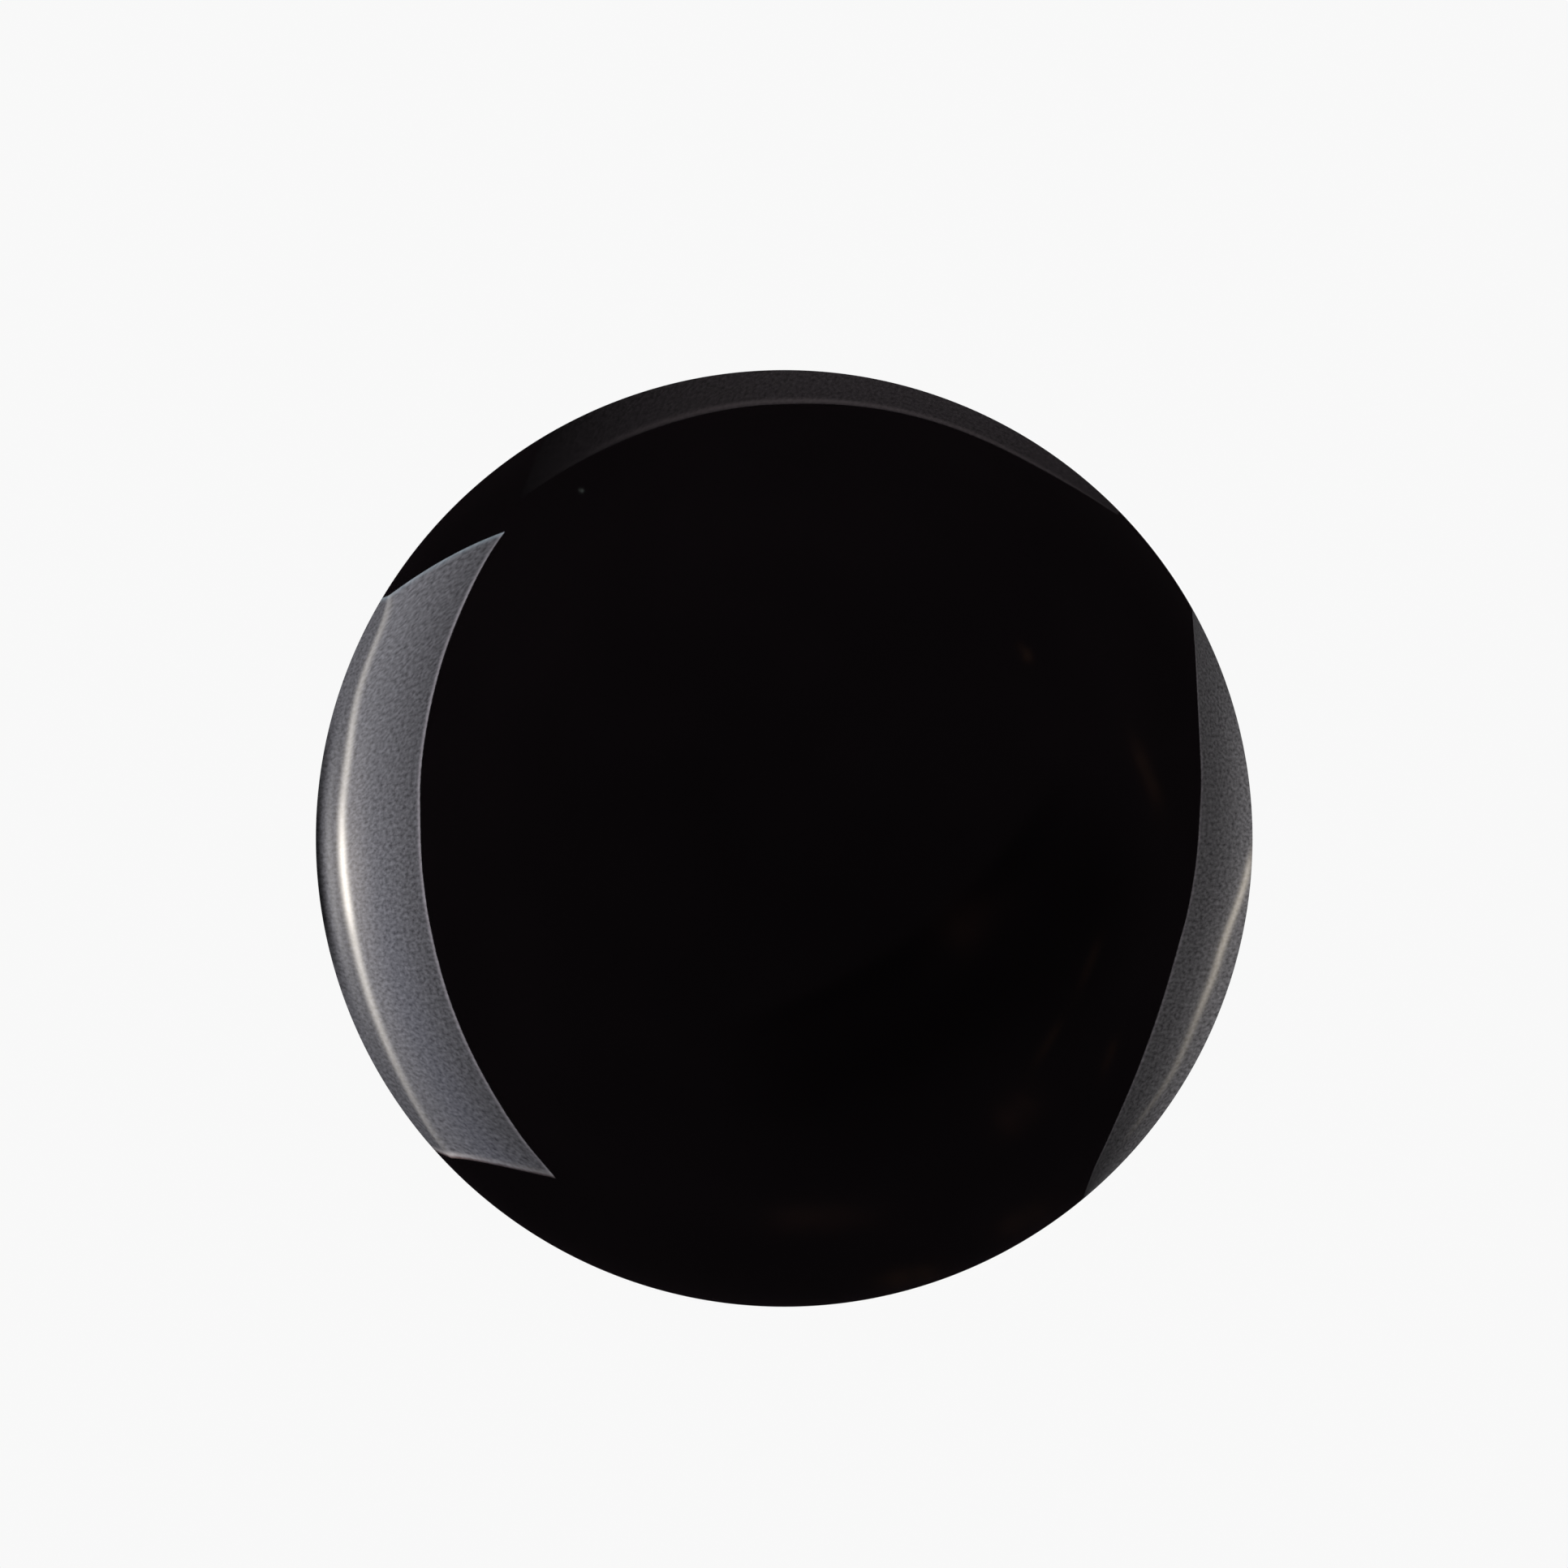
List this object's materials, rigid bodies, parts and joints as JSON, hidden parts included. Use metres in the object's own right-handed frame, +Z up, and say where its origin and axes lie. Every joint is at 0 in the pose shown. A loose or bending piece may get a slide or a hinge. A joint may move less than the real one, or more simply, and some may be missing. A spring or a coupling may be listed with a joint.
{
  "type": "ball-mounted survey prism",
  "caption": "Polished black steel ball with a coated glass corner-cube prism set at its centre, behind a screw-in front bezel; it seats in a magnetic nest for surveying.",
  "frame": {"origin": "centre of the ball, which is also where the corner cube's optical centre lies", "axes": "+Y along the optical axis, out of the aperture; +Z up; the unbroken hemisphere faces -Y"},
  "size_m": [0.038, 0.0335, 0.038],
  "materials": {
    "ball_coating": "polished black hard coating on steel",
    "bezel_anodise": "satin black anodised",
    "cell_anodise": "matte black anodised",
    "shim_steel": "satin",
    "screw_steel": "satin",
    "optical_glass": "polished",
    "mirror_film": "polished",
    "seat_rubber": "matte",
    "bond_silicone": "satin",
    "seal_rubber": "matte",
    "slip_ptfe": "satin",
    "dot_paint": "satin",
    "pellet_nylon": "matte"
  },
  "bodies": {
    "ball": {"ball_body": "ball_coating", "axial_shim": "shim_steel", "prism_cell": "cell_anodise", "cell_screws": "screw_steel", "corner_cube_prism": "optical_glass", "mirror_coating": "mirror_film", "bonding_pads": "bond_silicone", "prism_seat_ring": "seat_rubber", "front_seal": "seal_rubber"},
    "slip": {"slip_ring": "slip_ptfe"},
    "bezel": {"bezel_ring": "bezel_anodise", "index_dot": "dot_paint", "thread_lock_pellet": "pellet_nylon"}
  },
  "joints": [
    {"name": "slip_travel", "type": "slide", "parent": "ball", "child": "slip", "axis": [0, 1, 0], "range_m": [0, 0.0023]},
    {"name": "bezel_turn", "type": "hinge", "parent": "slip", "child": "bezel", "pos_m": [0, 0.012, 0], "axis": [0, 1, 0], "range_deg": [0, 1620]}
  ],
  "couplings": [
    {"joint": "slip_travel", "follows": "bezel_turn", "m_per_rad": 0.000079577}
  ]
}
